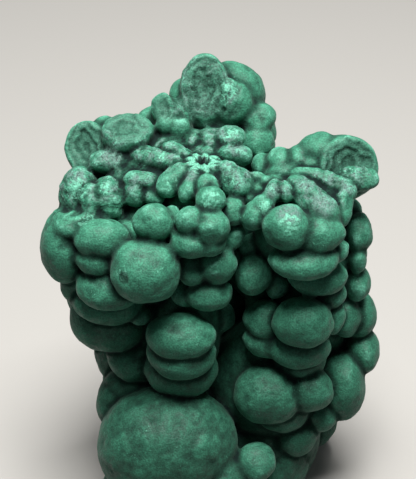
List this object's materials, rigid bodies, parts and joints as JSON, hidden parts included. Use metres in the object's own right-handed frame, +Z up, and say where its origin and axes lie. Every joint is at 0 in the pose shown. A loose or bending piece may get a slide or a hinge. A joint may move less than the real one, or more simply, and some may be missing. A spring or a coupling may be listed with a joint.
{
  "type": "mineral specimen",
  "caption": "Botryoidal malachite specimen: upright grape-like stalactite columns grown together, with petalled flat tops, on a broken flat base.",
  "frame": {"origin": "centre of the specimen's box in plan, at the height of its broken flat base", "axes": "+Z up along the columns, +X to the right and +Y away from the front"},
  "size_m": [0.0638, 0.0569, 0.0851],
  "materials": {
    "malachite": "matte, velvety, with pale mint dust on the tops of the lobes and near-black creases"
  },
  "bodies": {
    "root": {"malachite_specimen": "malachite"}
  },
  "joints": []
}
